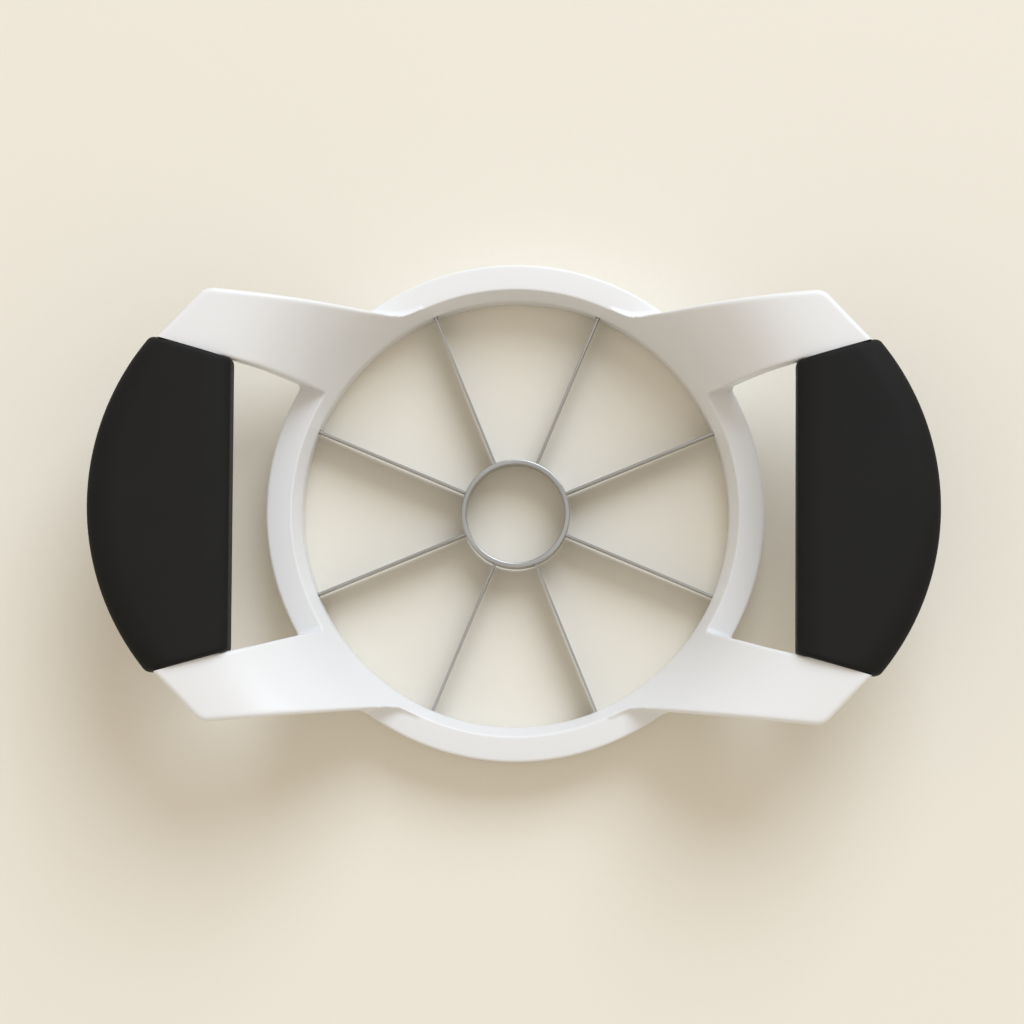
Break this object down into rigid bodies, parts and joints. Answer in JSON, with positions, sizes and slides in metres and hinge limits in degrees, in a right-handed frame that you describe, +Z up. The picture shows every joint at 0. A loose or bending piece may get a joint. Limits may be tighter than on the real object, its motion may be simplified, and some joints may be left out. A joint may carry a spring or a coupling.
{
  "type": "fruit wedger",
  "caption": "Hand press that cuts a fruit into wedges: radial blades round a core cutter, held in a low ring, with raised handles in soft sleeves.",
  "frame": {"origin": "on the table, under the middle of the core cutter, at the middle of the retaining ring's lower face", "axes": "+X from the middle to one handle, +Y along the handles' length, +Z up, away from the table"},
  "size_m": [0.1904, 0.114, 0.0394],
  "materials": {
    "white_plastic": "moulded, semi-gloss white",
    "black_rubber": "soft matte black",
    "steel": "fine brushed stainless"
  },
  "bodies": {
    "root": {"frame": "white_plastic", "retaining_ring": "white_plastic", "core_ring": "steel", "blade_1": "steel", "blade_2": "steel", "blade_3": "steel", "blade_4": "steel", "blade_5": "steel", "blade_6": "steel", "blade_7": "steel", "blade_8": "steel", "left_grip": "black_rubber", "right_grip": "black_rubber"}
  },
  "joints": []
}
